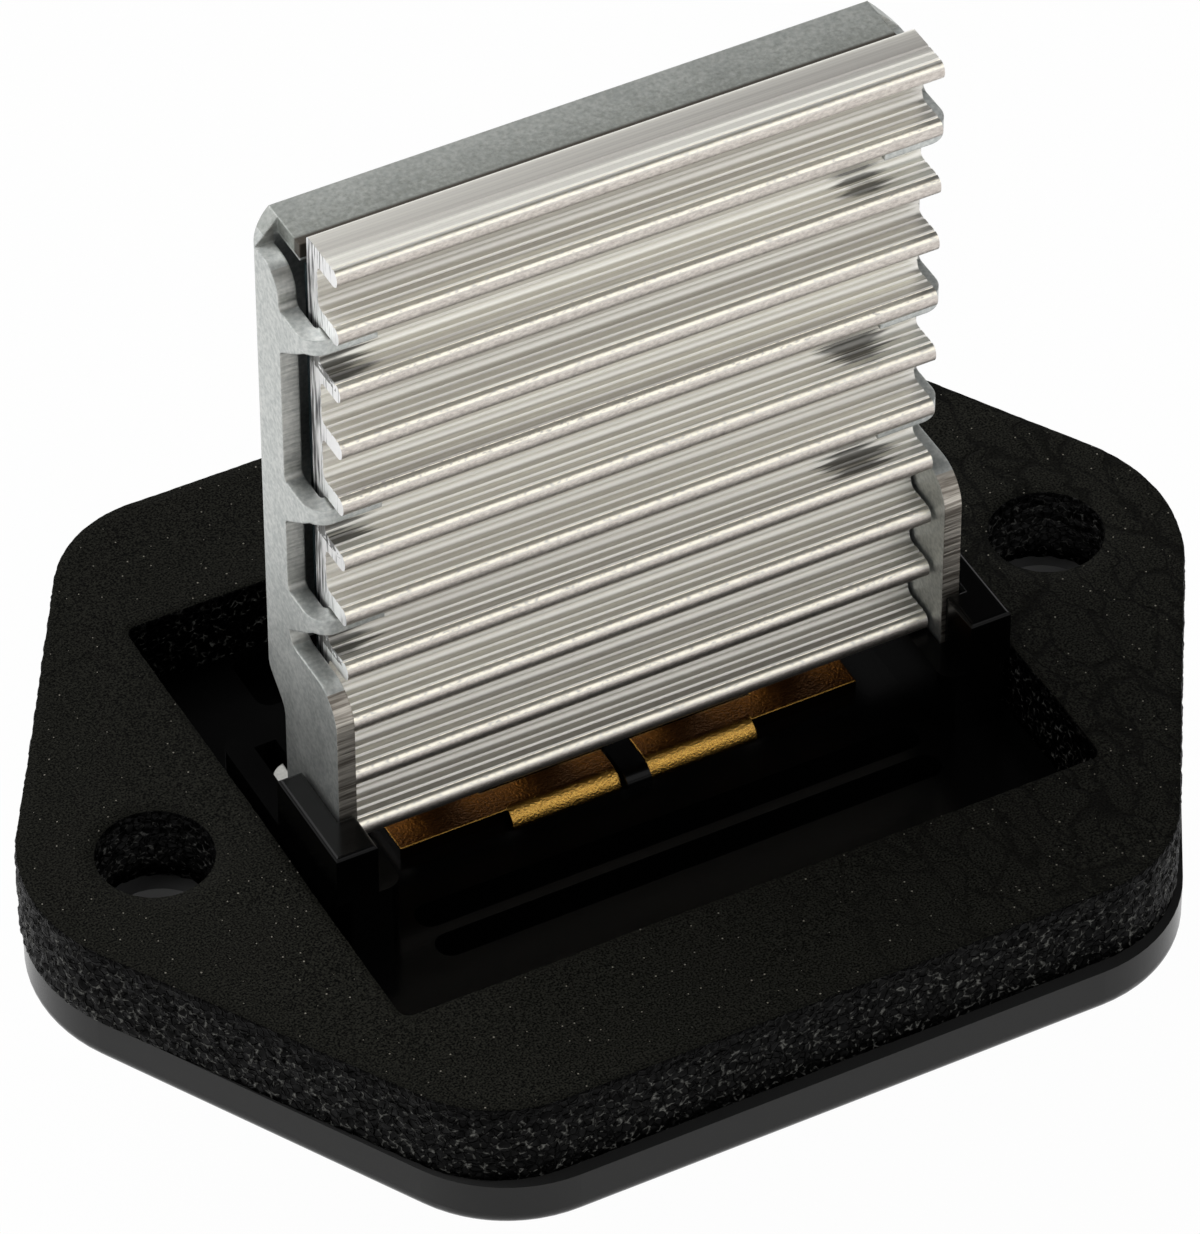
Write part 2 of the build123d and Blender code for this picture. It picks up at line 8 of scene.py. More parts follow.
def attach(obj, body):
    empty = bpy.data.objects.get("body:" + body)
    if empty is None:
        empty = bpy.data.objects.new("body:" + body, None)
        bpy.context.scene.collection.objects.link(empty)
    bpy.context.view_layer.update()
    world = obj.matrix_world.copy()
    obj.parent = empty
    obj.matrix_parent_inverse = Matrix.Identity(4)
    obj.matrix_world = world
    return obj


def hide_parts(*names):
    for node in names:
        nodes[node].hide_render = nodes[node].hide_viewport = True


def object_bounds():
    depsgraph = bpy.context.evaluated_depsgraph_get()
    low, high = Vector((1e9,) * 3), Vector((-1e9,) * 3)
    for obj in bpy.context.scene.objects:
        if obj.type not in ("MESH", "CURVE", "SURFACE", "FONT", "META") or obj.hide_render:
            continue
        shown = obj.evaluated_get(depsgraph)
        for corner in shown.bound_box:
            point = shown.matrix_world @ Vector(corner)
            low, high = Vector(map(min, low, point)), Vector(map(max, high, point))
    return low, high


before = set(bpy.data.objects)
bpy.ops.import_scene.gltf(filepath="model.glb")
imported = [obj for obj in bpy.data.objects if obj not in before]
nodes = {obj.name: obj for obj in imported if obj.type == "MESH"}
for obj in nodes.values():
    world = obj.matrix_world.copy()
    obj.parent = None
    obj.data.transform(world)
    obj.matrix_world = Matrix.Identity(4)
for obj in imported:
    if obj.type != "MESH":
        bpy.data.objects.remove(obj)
cad_low, cad_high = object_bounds()

# Camera: a long lens from the front left, looking down on the fins at about 43 degrees.
# Its place was found from the flange's corners, the window, the screw holes and the fins.
MM = 0.001
view_azimuth = math.radians(-27.802)
view_elevation = math.radians(43.146)
view_roll = math.radians(-0.145)
camera_distance = 473.79 * MM
aim_right, aim_up, aim_height = -0.494 * MM, 3.885 * MM, 5.0 * MM
focal_in_pixels = 9167.0
frame_height_in_pixels = 1234
sensor_in_millimetres = 36.0
back = Vector((
    math.sin(view_azimuth) * math.cos(view_elevation),
    -math.cos(view_azimuth) * math.cos(view_elevation),
    math.sin(view_elevation),
))
level_right = Vector((math.cos(view_azimuth), math.sin(view_azimuth), 0))
level_up = back.cross(level_right)
right = math.cos(view_roll) * level_right + math.sin(view_roll) * level_up
up = math.cos(view_roll) * level_up - math.sin(view_roll) * level_right
aim = right * aim_right + up * aim_up + Vector((0, 0, aim_height))
place = aim + back * camera_distance
lens = bpy.data.cameras.new("camera")
lens.sensor_width = sensor_in_millimetres
lens.lens = focal_in_pixels / frame_height_in_pixels * sensor_in_millimetres
lens.clip_start, lens.clip_end = 0.01, 10
camera = bpy.data.objects.new("camera", lens)
camera.matrix_world = Matrix((
    (right.x, up.x, back.x, place.x),
    (right.y, up.y, back.y, place.y),
    (right.z, up.z, back.z, place.z),
    (0, 0, 0, 1),
))
bpy.context.scene.collection.objects.link(camera)
bpy.context.scene.camera = camera
bpy.context.scene.view_settings.view_transform = "Standard"


# Studio: a round white sweep that the object stands on, by its connector's rim. A large softbox
# hangs behind it to the left, a weaker one stands at the left and a small one close in front.
# The sweep looks white to the eye and in reflections, and keeps a trace of the shadow.
def linear(code):
    """sRGB hex colour as linear red, green, blue, alpha."""
    parts = np.array([int(code[i:i + 2], 16) for i in (0, 2, 4)]) / 255
    light = np.where(parts <= 0.04045, parts / 12.92, ((parts + 0.055) / 1.055) ** 2.4)
    return (*light.tolist(), 1.0)


def add_node(tree, kind, inputs=None, **settings):
    """Adds a node: settings are its own options, inputs its values or the sockets to link."""
    made = tree.nodes.new(kind)
    for name, value in settings.items():
        setattr(made, name, value)
    for name, value in (inputs or {}).items():
        if isinstance(value, bpy.types.NodeSocket):
            tree.links.new(value, made.inputs[name])
        else:
            made.inputs[name].default_value = value
    return made


def new_material(name):
    """An empty node material and its tree."""
    made = bpy.data.materials.new(name)
    made.use_nodes = True
    made.node_tree.nodes.clear()
    return made, made.node_tree


sky = bpy.data.worlds.new("dim_studio")
sky.use_nodes = True
tree = sky.node_tree
tree.nodes.clear()
backdrop = add_node(tree, "ShaderNodeBackground", {"Color": linear("FFFFFF"), "Strength": 0.05})
add_node(tree, "ShaderNodeOutputWorld", {"Surface": backdrop.outputs[0]})
bpy.context.scene.world = sky


def turned_sheet(name, profile, count):
    """Profile points (radius, height) turned about Z: x = r cos t, y = r sin t, z = h."""
    profile = np.array(profile, float)
    angle = np.linspace(0, 2 * np.pi, count, endpoint=False)
    ring = np.stack([np.cos(angle), np.sin(angle)], 1)
    grid = np.zeros((len(profile), count, 3))
    grid[:, :, :2] = profile[:, None, :1] * ring[None]
    grid[:, :, 2] = profile[:, 1:]
    here = np.arange(len(profile) - 1)[:, None] * count + np.arange(count)
    next_one = np.arange(len(profile) - 1)[:, None] * count + (np.arange(count) + 1) % count
    faces = np.stack([here, here + count, next_one + count, next_one], 2).reshape(-1, 4)
    made = bpy.data.meshes.new(name)
    made.from_pydata(grid.reshape(-1, 3).tolist(), [], faces[:, ::-1].tolist())
    made.polygons.foreach_set("use_smooth", np.ones(len(faces), bool))
    return made


floor_z = cad_low.z - 0.02 * MM
sweep_radius, sweep_bend, sweep_height = 1.9, 0.4, 0.9
middle_radius, flat_radius, sweep_sides = 0.0001, 0.4, 96
shadow_kept = 0.02
bend = np.linspace(0, np.pi / 2, 17)
profile = [(middle_radius, floor_z), (flat_radius, floor_z), (sweep_radius - sweep_bend, floor_z)]
profile += list(zip(sweep_radius - sweep_bend + sweep_bend * np.sin(bend[1:]),
                    floor_z + sweep_bend - sweep_bend * np.cos(bend[1:])))
profile.append((sweep_radius, floor_z + sweep_height))
floor = bpy.data.objects.new("floor", turned_sheet("floor", profile, sweep_sides))
bpy.context.scene.collection.objects.link(floor)
paint, tree = new_material("white_floor_paint")
path = add_node(tree, "ShaderNodeLightPath")
seen = add_node(tree, "ShaderNodeMath", {0: path.outputs["Is Camera Ray"],
                                         1: path.outputs["Is Glossy Ray"]}, operation="ADD")
seen = add_node(tree, "ShaderNodeMath", {0: seen.outputs[0],
                                         1: path.outputs["Is Transmission Ray"]},
                operation="ADD", use_clamp=True)
lift = add_node(tree, "ShaderNodeMath", {0: seen.outputs[0], 1: 1 - shadow_kept}, operation="MULTIPLY")
matt = add_node(tree, "ShaderNodeBsdfDiffuse", {"Color": linear("F4F4F2")})
glow = add_node(tree, "ShaderNodeEmission", {"Color": linear("FFFFFF"), "Strength": 1.0})
mixed = add_node(tree, "ShaderNodeMixShader", {0: lift.outputs[0], 1: matt.outputs[0],
                                               2: glow.outputs[0]})
add_node(tree, "ShaderNodeOutputMaterial", {"Surface": mixed.outputs[0]})
floor.data.materials.append(paint)

lamp_aim = Vector((0, 0, 30 * MM))
lamps = {
    "key_softbox": ((-0.22, 0.38, 0.70), 0.70, 4.6),
    "fill_softbox": ((-0.60, -0.40, 0.40), 0.45, 0.5),
    "front_softbox": ((0.08, -0.17, 0.20), 0.16, 0.105),
}
for name, (spot, width, watts) in lamps.items():
    lamp = bpy.data.lights.new(name, "AREA")
    lamp.shape, lamp.size, lamp.size_y, lamp.energy = "RECTANGLE", width, width, watts
    stand = bpy.data.objects.new(name, lamp)
    stand.location = spot
    stand.rotation_euler = (lamp_aim - Vector(spot)).to_track_quat("-Z", "Y").to_euler()
    bpy.context.scene.collection.objects.link(stand)


# Base moulding: one injection moulding in black glass-filled polyester, with a fine satin skin
# that the plastic's flow clouds a little. Painted shade makes the island inside the gasket blackest,
# the flange outside it is greyer, and painted light lifts the shaded plastic round the screw holes.
def use_material(names, made):
    """Gives one material to CAD nodes by their names."""
    for name in names:
        nodes[name].material_slots[0].material = made


island_half_length, island_half_depth = 20.1 * MM, 16.0 * MM
screw_hole_x, hole_light_reach = 26.0 * MM, 3.9 * MM
flow_mark, mould_grain = 5.556 * MM, 0.1923 * MM
plastic, tree = new_material("black_moulded_polyester")
place_on = add_node(tree, "ShaderNodeTexCoord")
here = place_on.outputs["Object"]
flow = add_node(tree, "ShaderNodeTexNoise", {"Vector": here, "Scale": 1 / flow_mark, "Detail": 3.0})
grain = add_node(tree, "ShaderNodeTexNoise", {"Vector": here, "Scale": 1 / mould_grain, "Detail": 2.0})
tint = add_node(tree, "ShaderNodeMix", {"Factor": flow.outputs["Fac"],
                                        "A": linear("030303"), "B": linear("070707")},
                data_type="RGBA")
sheen = add_node(tree, "ShaderNodeMapRange", {"Value": flow.outputs["Fac"],
                                              "To Min": 0.16, "To Max": 0.24})
apart = add_node(tree, "ShaderNodeSeparateXYZ", {0: here})
from_middle_x = add_node(tree, "ShaderNodeMath", {0: apart.outputs["X"]}, operation="ABSOLUTE")
from_middle_y = add_node(tree, "ShaderNodeMath", {0: apart.outputs["Y"]}, operation="ABSOLUTE")
past_end = add_node(tree, "ShaderNodeMath", {0: from_middle_x.outputs[0],
                                             1: island_half_length}, operation="GREATER_THAN")
past_side = add_node(tree, "ShaderNodeMath", {0: from_middle_y.outputs[0],
                                              1: island_half_depth}, operation="GREATER_THAN")
# The island's black is painted shade; outside it the flange takes a greyer colour.
outside_island = add_node(tree, "ShaderNodeMath", {0: past_end.outputs[0], 1: past_side.outputs[0]},
                   operation="MAXIMUM")
with_island_shade = add_node(tree, "ShaderNodeMix", {"Factor": outside_island.outputs[0],
                                          "A": tint.outputs["Result"],
                                          "B": linear("393939")}, data_type="RGBA")
# Painted light: the plastic round the screw holes, in the foam's shade, is made paler.
past_hole_x = add_node(tree, "ShaderNodeMath", {0: from_middle_x.outputs[0], 1: screw_hole_x},
                       operation="SUBTRACT")
flat_place = add_node(tree, "ShaderNodeCombineXYZ", {"X": past_hole_x.outputs[0],
                                                     "Y": apart.outputs["Y"]})
from_hole = add_node(tree, "ShaderNodeVectorMath", {0: flat_place.outputs[0]}, operation="LENGTH")
by_hole_light = add_node(tree, "ShaderNodeMath", {0: from_hole.outputs["Value"], 1: hole_light_reach},
                   operation="LESS_THAN")
hole_painted_light = add_node(tree, "ShaderNodeMix", {"Factor": by_hole_light.outputs[0],
                                          "A": with_island_shade.outputs["Result"],
                                          "B": linear("626262")}, data_type="RGBA")
skin = add_node(tree, "ShaderNodeBump", {"Height": grain.outputs["Fac"], "Strength": 0.18,
                                         "Distance": 0.02 * MM})
body = add_node(tree, "ShaderNodeBsdfPrincipled", {
    "Base Color": hole_painted_light.outputs["Result"], "Roughness": sheen.outputs[0], "IOR": 1.5,
    "Specular IOR Level": 0.12, "Normal": skin.outputs["Normal"]})
add_node(tree, "ShaderNodeOutputMaterial", {"Surface": body.outputs[0]})
use_material(["base_moulding"], plastic)


# Foam gasket: 5 mm black cellular rubber, die cut, which seals the flange to the heater box.
# Its faces keep the matt skin of the foamed sheet, wrinkled at the right, and the cut sides and
# holes show the open cells.
def soft_random(points, size, seed):
    """Value noise: random numbers on a cubic lattice of that size, blended by smoothsteps."""
    cell = np.floor(points / size).astype(np.int64)
    part = points / size - cell
    part = part * part * (3 - 2 * part)
    total = np.zeros(len(points))
    for corner in np.ndindex(2, 2, 2):
        weight = np.prod(np.where(np.array(corner) == 1, part, 1 - part), axis=1)
        total += weight * lattice_random(cell + np.array(corner), seed)
    return total


def lattice_random(cell, seed):
    """A repeatable number from 0 to 1 for each whole-number point: a multiply and xor hash."""
    mixed_bits = cell[:, 0] * 73856093 ^ cell[:, 1] * 19349663 ^ cell[:, 2] * 83492791
    mixed_bits = (mixed_bits ^ seed * 2654435761) & 0xFFFFFFFF
    mixed_bits = (mixed_bits ^ (mixed_bits >> 15)) * 2246822519 & 0xFFFFFFFF
    mixed_bits = (mixed_bits ^ (mixed_bits >> 13)) * 3266489917 & 0xFFFFFFFF
    return (mixed_bits >> 8) / float(1 << 24)


def nearest_seed(points, size, seed):
    """Cell noise: distance, in cells, from each point to the nearest of one seed per cell."""
    cell = np.floor(points / size).astype(np.int64)
    best = np.full(len(points), 9.0)
    for step in np.ndindex(3, 3, 3):
        near = cell + np.array(step) - 1
        spot = near + np.stack([lattice_random(near, seed + k) for k in range(3)], 1)
        best = np.minimum(best, np.sum((spot - points / size) ** 2, axis=1))
    return np.sqrt(best)


def rounded_outline(corners, radii, spacing):
    """Closed polygon whose corners are tangent arcs, resampled to points evenly spaced."""
    corners = np.array(corners, float)
    runs = []
    for i, radius in enumerate(radii):
        tip = corners[i]
        before = corners[i - 1] - tip
        after = corners[(i + 1) % len(corners)] - tip
        before, after = before / np.linalg.norm(before), after / np.linalg.norm(after)
        half = np.arccos(before @ after) / 2
        middle = (before + after) / np.linalg.norm(before + after)
        centre = tip + middle * radius / np.sin(half)
        start = tip + before * radius / np.tan(half) - centre
        turn = np.pi - 2 * half
        sign = np.sign(start[0] * (-middle[1]) - start[1] * (-middle[0]))
        angles = np.linspace(0, sign * turn, 24)
        runs.append(centre + np.stack([start[0] * np.cos(angles) - start[1] * np.sin(angles),
                                       start[0] * np.sin(angles) + start[1] * np.cos(angles)], 1))
    line = np.vstack(runs + [runs[0][:1]])
    along = np.concatenate([[0], np.cumsum(np.linalg.norm(np.diff(line, axis=0), axis=1))])
    spots = np.linspace(0, along[-1], int(round(along[-1] / spacing)) + 1)[:-1]
    return np.stack([np.interp(spots, along, line[:, k]) for k in (0, 1)], 1)


def inside(points, ring):
    """Even-odd test: counts the ring's edges that a ray along +X from each point crosses."""
    ends = np.roll(ring, -1, axis=0)
    px, py = points[:, :1], points[:, 1:]
    spans = (ring[:, 1] > py) != (ends[:, 1] > py)
    rise = np.where(ends[:, 1] == ring[:, 1], 1.0, ends[:, 1] - ring[:, 1])
    cross = ring[:, 0] + (py - ring[:, 1]) / rise * (ends[:, 0] - ring[:, 0])
    return (np.sum(spans & (px < cross), axis=1) % 2) == 1


# Sizes in millimetres, as are all the foam's points until the mesh is made.
foam_thickness = 5.0
foam_reach, foam_depth, foam_flat = 34.6, 24.75, 19.7
foam_end_radius, foam_side_radius = 9.8, 7.3
window_x, window_y, window_radius = 20.0, 15.9, 0.5
hole_centres, hole_radius, hole_flare, hole_sides = ((-25.95, 0.3), (26.0, 0.0)), 3.0, 0.45, 90
big_cell, small_cell, big_pit, small_pit = 0.50, 0.275, 0.20, 0.08
skin_reach, rim_reach, rim_rounding = 0.35, 0.25, 0.10
wave_length, wave_height = 6.0, 0.12
foam_step, rows = 0.20, 26
foam_rings = [
    rounded_outline([(-foam_reach, 0), (-foam_flat, -foam_depth), (foam_flat, -foam_depth),
                     (foam_reach, 0), (foam_flat, foam_depth), (-foam_flat, foam_depth)],
                    [foam_end_radius, foam_side_radius, foam_side_radius,
                     foam_end_radius, foam_side_radius, foam_side_radius], foam_step),
    rounded_outline([(-window_x, -window_y), (-window_x, window_y), (window_x, window_y),
                     (window_x, -window_y)], [window_radius] * 4, foam_step),
]
circle = np.linspace(0, -2 * np.pi, hole_sides + 1)[:-1]
for hole_x, hole_y in hole_centres:
    foam_rings.append(np.stack([hole_x + hole_radius * np.cos(circle),
                                hole_y + hole_radius * np.sin(circle)], 1))

# The cut sides: each outline point, moved into the foam by the depth of the open cells there,
# which fades towards the skin, by a slow wave, and in the holes by a flare towards the flange.
# A cell is a cone about its seed that ends 0.7 of the cell's size away.
heights = np.linspace(0, foam_thickness, rows)
below_skin = foam_thickness - heights[:, None]
walls, wall_faces, rims, rim_edges, base_ids, top_ids = [], [], [], [], [], []
start, rim_start = 0, 0
for ring in foam_rings:
    count = len(ring)
    tangent = np.roll(ring, -1, axis=0) - np.roll(ring, 1, axis=0)
    tangent /= np.linalg.norm(tangent, axis=1, keepdims=True)
    outward = np.stack([tangent[:, 1], -tangent[:, 0]], 1)
    grid = np.zeros((rows, count, 3))
    grid[:, :, :2] = ring
    grid[:, :, 2] = heights[:, None]
    flat = grid.reshape(-1, 3)
    big = np.clip(1.15 - 1.6 * nearest_seed(flat, big_cell, seed=11), 0, 1)
    small = np.clip(1.1 - 1.6 * nearest_seed(flat, small_cell, seed=29), 0, 1)
    sink = (big_pit * big + small_pit * small).reshape(rows, count)
    sink = sink * np.clip(below_skin / skin_reach, 0.15, 1)
    sink = sink + rim_rounding * np.clip(1 - below_skin / rim_reach, 0, 1)
    wave = wave_height * (soft_random(flat * (1, 1, 0), wave_length, seed=5) - 0.5)
    if count == hole_sides:
        sink = sink + hole_flare * below_skin / foam_thickness
    else:
        sink[0] = sink[-1]
    grid[:, :, :2] -= outward * (sink + wave.reshape(rows, count))[:, :, None]
    walls.append(grid.reshape(-1, 3))
    rims.append(grid[-1, :, :2])
    around = np.arange(count)
    after = (around + 1) % count
    low = start + np.arange(rows - 1)[:, None] * count + around
    near = start + np.arange(rows - 1)[:, None] * count + after
    wall_faces.append(np.stack([low, near, near + count, low + count], 2).reshape(-1, 4))
    base_ids.append(start + around)
    top_ids.append(start + (rows - 1) * count + around)
    rim_edges.append(np.stack([rim_start + around, rim_start + after], 1))
    start += rows * count
    rim_start += count


def in_foam(points):
    """True for points inside the outline and outside the window and the holes."""
    return inside(points, rims[0]) & ~np.any([inside(points, ring) for ring in rims[1:]], axis=0)


# The skins: a triangular lattice of points, joined to the rims by a Delaunay triangulation
# that keeps the rims' edges and names the point given for each it returns. The upper skin is
# lifted by slow creases and, more to the right, by ripples.
skin_step, row_step = 0.5, 0.433
crease_length, crease_height, ripple_length, ripple_height = 5.5, 0.05, 1.6, 0.02
ripple_growth, growth_start, growth_length, skin_sag = 0.05, 2, 22, 0.02
half_length, half_depth = 34, 25
rim_clearance, hole_clearance, rim_parts = 0.3, 0.9, 40
gx, gy = np.meshgrid(np.arange(-half_length, half_length, skin_step),
                     np.arange(-half_depth, half_depth, row_step))
gx[1::2] += skin_step / 2
spots = np.stack([gx.ravel(), gy.ravel()], 1)
spots = spots[in_foam(spots)]
rim_points = np.vstack(rims)
gap = np.full(len(spots), 9.0)
for part_of_rim in np.array_split(rim_points, rim_parts):
    gap = np.minimum(gap, np.linalg.norm(spots[:, None] - part_of_rim[None], axis=2).min(1))
near_hole = np.min([np.linalg.norm(spots - centre, axis=1) for centre in hole_centres], axis=0)
spots = spots[(gap > rim_clearance) & (near_hole > hole_radius + hole_clearance)]
flat_points = np.vstack([rim_points, spots])
found = delaunay_2d_cdt([Vector(p) for p in flat_points.tolist()],
                        np.vstack(rim_edges).tolist(), [], 1, 1e-7)
triangles = np.array([ids[0] for ids in found[3]])[np.array(found[2])]
triangles = triangles[in_foam(flat_points[triangles].mean(axis=1))]
a, b, c = (flat_points[triangles[:, k]] for k in range(3))
turn = (b[:, 0] - a[:, 0]) * (c[:, 1] - a[:, 1]) - (b[:, 1] - a[:, 1]) * (c[:, 0] - a[:, 0])
triangles = np.where(turn[:, None] < 0, triangles[:, ::-1], triangles)

inner_base = np.column_stack([spots, np.zeros(len(spots))])
crease = soft_random(inner_base * (1.0, 2.2, 1), crease_length, seed=3) - 0.5
ripple = soft_random(inner_base * (2.2, 1.0, 1), ripple_length, seed=7) - 0.5
far_right = np.clip((spots[:, 0] + growth_start) / growth_length, 0, 1)
relief = crease_height * crease + (ripple_height + ripple_growth * far_right) * ripple
inner_top = np.column_stack([spots, foam_thickness - skin_sag + relief])
top_map = np.concatenate(top_ids + [start + np.arange(len(spots))])
base_map = np.concatenate(base_ids + [start + len(spots) + np.arange(len(spots))])
foam_points = np.vstack(walls + [inner_top, inner_base]) * MM
quads = np.vstack(wall_faces)
skins = np.vstack([top_map[triangles], base_map[triangles][:, ::-1]])

foam_mesh = bpy.data.meshes.new("cellular_gasket")
foam_mesh.from_pydata(foam_points.tolist(), [], quads.tolist() + skins.tolist())
cut_or_skin = np.repeat([1, 0], [len(quads), len(skins)]).astype(np.int32)
foam_mesh.polygons.foreach_set("material_index", cut_or_skin)
foam_mesh.polygons.foreach_set("use_smooth", np.ones(len(quads) + len(skins), bool))
foam_mesh.update()
foam = bpy.data.objects.new("cellular_gasket", foam_mesh)
bpy.context.scene.collection.objects.link(foam)

# The sheet's skin: matt black with fine pores, drawn coarser than the real ones so that they
# show, wrinkles towards the right with painted shade along their creases, and light dust.
pore, fold, wrinkle_wave, wander = 0.1111 * MM, 1.111 * MM, 2.381 * MM, 3.0 * MM
wrinkle_width, wrinkle_length = 1.613 * MM, 4.762 * MM
wrinkles_from, wrinkles_full = -4 * MM, 18 * MM
dust_spacing = 0.8333 * MM
rubber_skin, tree = new_material("black_cellular_rubber_skin")
place_on = add_node(tree, "ShaderNodeTexCoord")
here = place_on.outputs["Object"]
pores = add_node(tree, "ShaderNodeTexNoise", {"Vector": here, "Scale": 1 / pore, "Detail": 2.0})
folds = add_node(tree, "ShaderNodeTexNoise", {"Vector": here,
                                              "Scale": 1 / fold, "Detail": 5.0,
                                              "Roughness": 0.6})
bent = add_node(tree, "ShaderNodeTexNoise", {"Vector": here, "Scale": 1 / wrinkle_wave, "Detail": 5.0})
sway = add_node(tree, "ShaderNodeVectorMath", {0: bent.outputs["Color"],
                                               1: (wander, wander, 0.0)},
                operation="MULTIPLY")
swayed = add_node(tree, "ShaderNodeVectorMath", {0: here, 1: sway.outputs[0]}, operation="ADD")
stretched = add_node(tree, "ShaderNodeMapping", {
    "Vector": swayed.outputs[0], "Rotation": (0, 0, -0.25),
    "Scale": (1 / wrinkle_width, 1 / wrinkle_length, 1.0)})
wrinkles = add_node(tree, "ShaderNodeTexVoronoi", {"Vector": stretched.outputs[0],
                                                   "Scale": 1.0},
                    feature="DISTANCE_TO_EDGE")
wrinkle = add_node(tree, "ShaderNodeMapRange", {"Value": wrinkles.outputs["Distance"],
                                                "From Min": 0.0, "From Max": 0.06,
                                                "To Min": 1.0, "To Max": 0.0})
apart = add_node(tree, "ShaderNodeSeparateXYZ", {0: here})
to_right = add_node(tree, "ShaderNodeMapRange", {"Value": apart.outputs["X"],
                                                 "From Min": wrinkles_from,
                                                 "From Max": wrinkles_full})
creased = add_node(tree, "ShaderNodeMath", {0: wrinkle.outputs[0], 1: to_right.outputs[0]},
                   operation="MULTIPLY")
grainy = add_node(tree, "ShaderNodeMix", {"Factor": 0.5, "A": pores.outputs["Fac"],
                                          "B": folds.outputs["Fac"]})
blend_of = add_node(tree, "ShaderNodeMath", {0: grainy.outputs[0], 1: creased.outputs[0]},
                    operation="SUBTRACT")
relief_of = add_node(tree, "ShaderNodeBump", {"Height": blend_of.outputs[0], "Strength": 0.6,
                                              "Distance": 0.08 * MM})
speckle = add_node(tree, "ShaderNodeMapRange", {"Value": pores.outputs["Fac"],
                                                "From Min": 0.38, "From Max": 0.64})
# Painted shade: the colour is darkened along the wrinkles' creases.
crease_painted_shade = add_node(tree, "ShaderNodeMath", {0: creased.outputs[0], 1: 1.9, 2: 1.0},
                    operation="MULTIPLY_ADD")
speckle_and_crease_shade = add_node(tree, "ShaderNodeMath", {0: speckle.outputs[0], 1: crease_painted_shade.outputs[0]},
                    operation="DIVIDE")
tint = add_node(tree, "ShaderNodeMix", {"Factor": speckle_and_crease_shade.outputs[0],
                                        "A": linear("030302"), "B": linear("2A2A25")},
                data_type="RGBA")
dust = add_node(tree, "ShaderNodeTexVoronoi", {"Vector": here,
                                               "Scale": 1 / dust_spacing},
                voronoi_dimensions="2D")
pick = add_node(tree, "ShaderNodeSeparateColor", {"Color": dust.outputs["Color"]})
chosen = add_node(tree, "ShaderNodeMath", {0: pick.outputs["Red"], 1: 0.72}, operation="GREATER_THAN")
reach = add_node(tree, "ShaderNodeMapRange", {"Value": pick.outputs["Green"],
                                              "To Min": 0.02, "To Max": 0.06})
reach = add_node(tree, "ShaderNodeMath", {0: reach.outputs[0], 1: chosen.outputs[0]},
                 operation="MULTIPLY")
speck = add_node(tree, "ShaderNodeMath", {0: dust.outputs["Distance"], 1: reach.outputs[0]},
                 operation="LESS_THAN")
dusty = add_node(tree, "ShaderNodeMix", {"Factor": speck.outputs[0],
                                         "A": tint.outputs["Result"],
                                         "B": linear("8E8A80")}, data_type="RGBA")
body = add_node(tree, "ShaderNodeBsdfPrincipled", {
    "Base Color": dusty.outputs["Result"], "Roughness": 0.75, "IOR": 1.5,
    "Specular IOR Level": 0.05, "Normal": relief_of.outputs["Normal"]})
add_node(tree, "ShaderNodeOutputMaterial", {"Surface": body.outputs[0]})
foam.data.materials.append(rubber_skin)

# The cut foam: painted glints, a pale colour on the cell walls, over black hollows, darker just under
# the skin.
open_cell, glint_size = 0.4348 * MM, 0.3846 * MM
glints_end, glints_full = 4.5 * MM, 3.9 * MM
cut_foam, tree = new_material("black_cellular_rubber_cut")
place_on = add_node(tree, "ShaderNodeTexCoord")
here = place_on.outputs["Object"]
cells = add_node(tree, "ShaderNodeTexVoronoi", {"Vector": here,
                                                "Scale": 1 / open_cell},
                 feature="DISTANCE_TO_EDGE")
ridge = add_node(tree, "ShaderNodeMapRange", {"Value": cells.outputs["Distance"],
                                              "From Min": 0.02, "From Max": 0.16,
                                              "To Min": 1.0, "To Max": 0.0})
relief_of = add_node(tree, "ShaderNodeBump", {"Height": ridge.outputs[0], "Strength": 0.9,
                                              "Distance": 0.18 * MM})
glints = add_node(tree, "ShaderNodeTexNoise", {"Vector": here, "Scale": 1 / glint_size, "Detail": 3.0})
glint = add_node(tree, "ShaderNodeMapRange", {"Value": glints.outputs["Fac"],
                                              "From Min": 0.53, "From Max": 0.66})
apart = add_node(tree, "ShaderNodeSeparateXYZ", {0: here})
under_skin = add_node(tree, "ShaderNodeMapRange", {"Value": apart.outputs["Z"],
                                                   "From Min": glints_full,
                                                   "From Max": glints_end,
                                                   "To Min": 1.0, "To Max": 0.15})
# Painted glints: a pale base colour on the cell ridges, picked by noise.
painted_glints = add_node(tree, "ShaderNodeMath", {0: ridge.outputs[0], 1: glint.outputs[0]}, operation="MULTIPLY")
painted_glints = add_node(tree, "ShaderNodeMath", {0: painted_glints.outputs[0], 1: under_skin.outputs[0]},
               operation="MULTIPLY")
tint = add_node(tree, "ShaderNodeMix", {"Factor": painted_glints.outputs[0],
                                        "A": linear("000000"), "B": linear("8A8A86")},
                data_type="RGBA")
body = add_node(tree, "ShaderNodeBsdfPrincipled", {
    "Base Color": tint.outputs["Result"], "Roughness": 0.42, "IOR": 1.5,
    "Specular IOR Level": 0.05, "Normal": relief_of.outputs["Normal"]})
add_node(tree, "ShaderNodeOutputMaterial", {"Surface": body.outputs[0]})
foam.data.materials.append(cut_foam)
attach(foam, "root")
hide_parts("foam_gasket")

